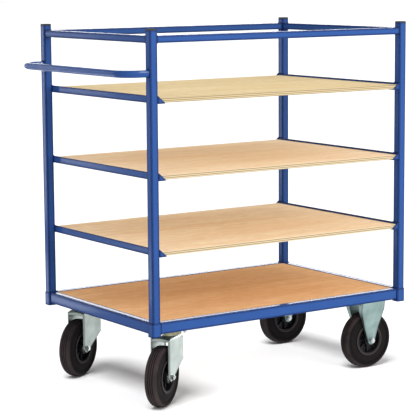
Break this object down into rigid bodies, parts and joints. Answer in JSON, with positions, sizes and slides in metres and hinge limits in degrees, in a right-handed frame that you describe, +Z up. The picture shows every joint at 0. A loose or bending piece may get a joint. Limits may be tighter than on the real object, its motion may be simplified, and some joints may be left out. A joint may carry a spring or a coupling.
{
  "type": "shelf trolley",
  "caption": "Shelf trolley: plywood deck and shelves on angle supports between square posts, a top rail frame, a bent push handle, swivel casters and fixed casters.",
  "frame": {"origin": "on the floor, at the centre of the bounding box in plan", "axes": "+X along the trolley away from the handle, +Y across it towards the back, +Z up"},
  "size_m": [1.2472, 0.7694, 1.32],
  "materials": {
    "blue_powder_coat": "semi-gloss powder coat",
    "deck_plywood": "clear lacquer",
    "shelf_plywood": "clear lacquer",
    "black_plastic": "moulded",
    "zinc_fasteners": "zinc plated",
    "zinc_pressing": "zinc plated",
    "yellow_zinc": "yellow passivated zinc",
    "bright_steel": "ground",
    "rim_plastic": "moulded",
    "tyre_rubber": "solid rubber"
  },
  "bodies": {
    "chassis": {"base_rail_front": "blue_powder_coat", "base_rail_back": "blue_powder_coat", "base_rail_handle_end": "blue_powder_coat", "base_rail_far_end": "blue_powder_coat", "corner_sockets": "blue_powder_coat", "carrier_swivel": "blue_powder_coat", "carrier_fixed": "blue_powder_coat", "middle_bearer": "blue_powder_coat", "deck_ledges": "blue_powder_coat", "post_handle_front": "blue_powder_coat", "post_handle_back": "blue_powder_coat", "post_far_front": "blue_powder_coat", "post_far_back": "blue_powder_coat", "top_rail_front": "blue_powder_coat", "top_rail_back": "blue_powder_coat", "top_rail_handle_end": "blue_powder_coat", "top_rail_far_end": "blue_powder_coat", "support_low_handle": "blue_powder_coat", "support_low_far": "blue_powder_coat", "support_mid_handle": "blue_powder_coat", "support_mid_far": "blue_powder_coat", "support_top_handle": "blue_powder_coat", "support_top_far": "blue_powder_coat", "push_handle": "blue_powder_coat", "deck_board": "deck_plywood", "shelf_low": "shelf_plywood", "shelf_mid": "shelf_plywood", "shelf_top": "shelf_plywood", "post_caps": "black_plastic", "board_screws": "zinc_fasteners", "caster_bolts": "zinc_fasteners", "caster_nuts": "zinc_fasteners", "fixed_axles": "zinc_fasteners", "kingpins": "zinc_fasteners", "swivel_plate_front": "zinc_pressing", "swivel_plate_back": "zinc_pressing", "fixed_bracket_front": "zinc_pressing", "fixed_bracket_back": "zinc_pressing", "dust_rings": "yellow_zinc", "swivel_balls": "bright_steel", "fixed_sleeves": "bright_steel"},
    "swivel_front": {"swivel_fork_front": "zinc_pressing", "swivel_axle_front": "zinc_fasteners", "swivel_sleeve_front": "bright_steel"},
    "swivel_wheel_front": {"swivel_rim_front": "rim_plastic", "swivel_tyre_front": "tyre_rubber", "swivel_bearing_front": "bright_steel"},
    "fixed_wheel_front": {"fixed_rim_front": "rim_plastic", "fixed_tyre_front": "tyre_rubber", "fixed_bearing_front": "bright_steel"},
    "swivel_back": {"swivel_fork_back": "zinc_pressing", "swivel_axle_back": "zinc_fasteners", "swivel_sleeve_back": "bright_steel"},
    "swivel_wheel_back": {"swivel_rim_back": "rim_plastic", "swivel_tyre_back": "tyre_rubber", "swivel_bearing_back": "bright_steel"},
    "fixed_wheel_back": {"fixed_rim_back": "rim_plastic", "fixed_tyre_back": "tyre_rubber", "fixed_bearing_back": "bright_steel"}
  },
  "joints": [
    {"name": "swivel_front_turn", "type": "hinge", "parent": "chassis", "child": "swivel_front", "pos_m": [-0.40513, -0.28079, 0.267], "axis": [0, 0, 1], "continuous": true},
    {"name": "swivel_back_turn", "type": "hinge", "parent": "chassis", "child": "swivel_back", "pos_m": [-0.40513, 0.29121, 0.267], "axis": [0, 0, 1], "continuous": true},
    {"name": "swivel_wheel_front_spin", "type": "hinge", "parent": "swivel_front", "child": "swivel_wheel_front", "pos_m": [-0.44741, -0.30931, 0.1075], "axis": [-0.5592, 0.829, 0], "continuous": true},
    {"name": "swivel_wheel_back_spin", "type": "hinge", "parent": "swivel_back", "child": "swivel_wheel_back", "pos_m": [-0.44974, 0.26649, 0.1075], "axis": [-0.4848, 0.8746, 0], "continuous": true},
    {"name": "fixed_wheel_front_spin", "type": "hinge", "parent": "chassis", "child": "fixed_wheel_front", "pos_m": [0.51613, -0.25679, 0.1075], "axis": [0, 1, 0], "continuous": true},
    {"name": "fixed_wheel_back_spin", "type": "hinge", "parent": "chassis", "child": "fixed_wheel_back", "pos_m": [0.51613, 0.26721, 0.1075], "axis": [0, 1, 0], "continuous": true}
  ]
}
